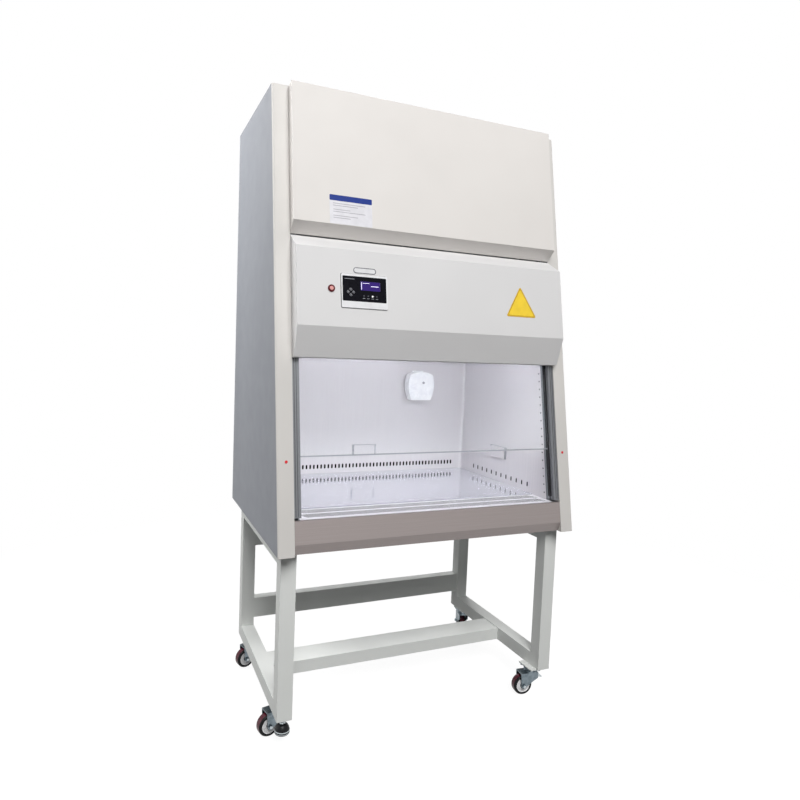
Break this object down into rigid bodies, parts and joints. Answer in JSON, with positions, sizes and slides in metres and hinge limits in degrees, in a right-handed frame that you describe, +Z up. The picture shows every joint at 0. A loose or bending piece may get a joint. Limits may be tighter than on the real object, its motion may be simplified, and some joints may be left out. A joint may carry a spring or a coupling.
{
  "type": "biosafety cabinet",
  "caption": "Class II biological safety cabinet with a slanted front, sliding sash, stainless chamber and pleated filters, on a tubular stand with casters.",
  "frame": {"origin": "on the floor under the middle of the cabinet", "axes": "+Z up, the front faces -Y, +X to the right of someone facing the back"},
  "size_m": [1.1127, 0.8, 2.13],
  "materials": {
    "side_paint": "baked powder coat, grey-white",
    "front_paint": "baked powder coat, warm white",
    "stand_paint": "baked powder coat, pale grey",
    "stainless": "brushed stainless sheet",
    "apron_steel": "brushed stainless, brownish",
    "anodised": "anodised extrusion",
    "zinc_steel": "zinc plated pressing",
    "cast_weight": "cast bar",
    "galvanised": "galvanised sheet",
    "motor_paint": "painted motor shell",
    "sash_glass": "clear tempered glass",
    "lamp_tube": "frosted lamp tube",
    "uv_tube": "clear germicidal tube",
    "panel_white": "moulded frame",
    "key_grey": "moulded key",
    "red_plastic": "moulded ring",
    "button_pink": "translucent cap",
    "filter_media": "folded glass-fibre paper in an aluminium frame",
    "outlet_white": "moulded cover",
    "wheel_tread": "maroon polyurethane tread between black shoulders",
    "foot_rubber": "rubber base with a plated rim"
  },
  "bodies": {
    "cabinet": {"side_panel_left": "side_paint", "side_panel_right": "side_paint", "column_left": "front_paint", "column_right": "front_paint", "rear_panel": "side_paint", "top_panel": "front_paint", "base_panel": "side_paint", "hinge_pins": "zinc_steel", "fascia": "front_paint", "control_panel": "panel_white", "power_bezel": "red_plastic", "guide_rails": "anodised", "chamber_back": "stainless", "chamber_side_left": "stainless", "chamber_side_right": "stainless", "work_deck": "stainless", "front_grille": "stainless", "drain_pan": "stainless", "apron": "apron_steel", "diffuser": "stainless", "supply_filter": "filter_media", "exhaust_filter": "filter_media", "plenum": "galvanised", "blower_housing": "galvanised", "motor": "motor_paint", "lamp": "lamp_tube", "uv_lamp": "uv_tube", "socket_plates": "stainless", "outlet_box": "outlet_white", "side_frame_left": "stand_paint", "side_frame_right": "stand_paint", "rear_rails": "stand_paint", "stretcher": "stand_paint", "caster_plates": "zinc_steel"},
    "service_door": {"service_door": "front_paint"},
    "key_up": {"key_up": "key_grey"},
    "key_down": {"key_down": "key_grey"},
    "key_left": {"key_left": "key_grey"},
    "key_right": {"key_right": "key_grey"},
    "power_button": {"power_button": "button_pink"},
    "sash": {"sash_glass": "sash_glass", "sash_strip": "anodised"},
    "balance_shaft": {"balance_shaft": "zinc_steel"},
    "counterweight": {"counterweight": "cast_weight"},
    "impeller": {"impeller": "galvanised"},
    "flip_cover_back": {"flip_cover_back": "stainless"},
    "flip_cover_side": {"flip_cover_side": "stainless"},
    "outlet_cover": {"outlet_cover": "outlet_white"},
    "caster_front_left": {"fork_front_left": "zinc_steel"},
    "caster_front_right": {"fork_front_right": "zinc_steel"},
    "caster_rear_left": {"fork_rear_left": "zinc_steel"},
    "caster_rear_right": {"fork_rear_right": "zinc_steel"},
    "wheel_front_left": {"wheel_front_left": "wheel_tread"},
    "wheel_front_right": {"wheel_front_right": "wheel_tread"},
    "wheel_rear_left": {"wheel_rear_left": "wheel_tread"},
    "wheel_rear_right": {"wheel_rear_right": "wheel_tread"},
    "pedal_left": {"pedal_left": "zinc_steel"},
    "pedal_right": {"pedal_right": "zinc_steel"},
    "foot_left": {"foot_left": "foot_rubber"}
  },
  "joints": [
    {"name": "door_hinge", "type": "hinge", "parent": "cabinet", "child": "service_door", "pos_m": [0, -0.16162, 2.11867], "axis": [-1, 0, 0], "range_deg": [0, 78]},
    {"name": "press_up", "type": "slide", "parent": "cabinet", "child": "key_up", "axis": [0, 0.9864, -0.1642], "range_m": [0, 0.0008], "stiffness_N_per_m": 600},
    {"name": "press_down", "type": "slide", "parent": "cabinet", "child": "key_down", "axis": [0, 0.9864, -0.1642], "range_m": [0, 0.0008], "stiffness_N_per_m": 600},
    {"name": "press_left", "type": "slide", "parent": "cabinet", "child": "key_left", "axis": [0, 0.9864, -0.1642], "range_m": [0, 0.0008], "stiffness_N_per_m": 600},
    {"name": "press_right", "type": "slide", "parent": "cabinet", "child": "key_right", "axis": [0, 0.9864, -0.1642], "range_m": [0, 0.0008], "stiffness_N_per_m": 600},
    {"name": "press_power", "type": "slide", "parent": "cabinet", "child": "power_button", "axis": [0, 0.9864, -0.1642], "range_m": [0, 0.0015], "stiffness_N_per_m": 600},
    {"name": "sash_slide", "type": "slide", "parent": "cabinet", "child": "sash", "axis": [0, 0.1642, 0.9864], "range_m": [-0.186, 0.3]},
    {"name": "balance_spin", "type": "hinge", "parent": "cabinet", "child": "balance_shaft", "pos_m": [0, -0.13315, 2.03084], "axis": [1, 0, 0], "range_deg": [-1380, 860]},
    {"name": "weight_slide", "type": "slide", "parent": "cabinet", "child": "counterweight", "axis": [0, 0.1642, 0.9864], "range_m": [-0.301, 0.187]},
    {"name": "blower_spin", "type": "hinge", "parent": "cabinet", "child": "impeller", "pos_m": [0, 0.18, 1.69], "axis": [0, 1, 0], "continuous": true},
    {"name": "flip_back", "type": "hinge", "parent": "cabinet", "child": "flip_cover_back", "pos_m": [-0.01, 0.2875, 0.881], "axis": [-1, 0, 0], "range_deg": [0, 100]},
    {"name": "flip_side", "type": "hinge", "parent": "cabinet", "child": "flip_cover_side", "pos_m": [0.4715, -0.01, 0.909], "axis": [0, 1, 0], "range_deg": [0, 100]},
    {"name": "outlet_hinge", "type": "hinge", "parent": "cabinet", "child": "outlet_cover", "pos_m": [0.232, 0.2895, 1.206], "axis": [-1, 0, 0], "range_deg": [0, 95]},
    {"name": "swivel_front_left", "type": "hinge", "parent": "cabinet", "child": "caster_front_left", "pos_m": [-0.492, -0.216, 0.09], "axis": [0, 0, 1], "continuous": true},
    {"name": "roll_front_left", "type": "hinge", "parent": "caster_front_left", "child": "wheel_front_left", "pos_m": [-0.52513, -0.22365, 0.0375], "axis": [0.225, -0.9744, 0], "continuous": true},
    {"name": "brake_left", "type": "hinge", "parent": "caster_front_left", "child": "pedal_left", "pos_m": [-0.47349, -0.21173, 0.07], "axis": [0.225, -0.9744, 0], "range_deg": [0, 18]},
    {"name": "swivel_front_right", "type": "hinge", "parent": "cabinet", "child": "caster_front_right", "pos_m": [0.477, -0.293, 0.09], "axis": [0, 0, 1], "continuous": true},
    {"name": "roll_front_right", "type": "hinge", "parent": "caster_front_right", "child": "wheel_front_right", "pos_m": [0.44325, -0.28886, 0.0375], "axis": [-0.1219, -0.9925, 0], "continuous": true},
    {"name": "brake_right", "type": "hinge", "parent": "caster_front_right", "child": "pedal_right", "pos_m": [0.49586, -0.29532, 0.07], "axis": [-0.1219, -0.9925, 0], "range_deg": [0, 18]},
    {"name": "swivel_rear_left", "type": "hinge", "parent": "cabinet", "child": "caster_rear_left", "pos_m": [-0.48, 0.256, 0.09], "axis": [0, 0, 1], "continuous": true},
    {"name": "roll_rear_left", "type": "hinge", "parent": "caster_rear_left", "child": "wheel_rear_left", "pos_m": [-0.51251, 0.24606, 0.0375], "axis": [0.2924, -0.9563, 0], "continuous": true},
    {"name": "swivel_rear_right", "type": "hinge", "parent": "cabinet", "child": "caster_rear_right", "pos_m": [0.5, 0.25, 0.09], "axis": [0, 0, 1], "continuous": true},
    {"name": "roll_rear_right", "type": "hinge", "parent": "caster_rear_right", "child": "wheel_rear_right", "pos_m": [0.51051, 0.28234, 0.0375], "axis": [-0.9511, 0.309, 0], "continuous": true},
    {"name": "level_left", "type": "slide", "parent": "cabinet", "child": "foot_left", "axis": [0, 0, -1], "range_m": [0, 0.057]}
  ],
  "couplings": [
    {"joint": "weight_slide", "follows": "sash_slide", "ratio": -1},
    {"joint": "balance_spin", "follows": "sash_slide", "rad_per_m": -80}
  ]
}
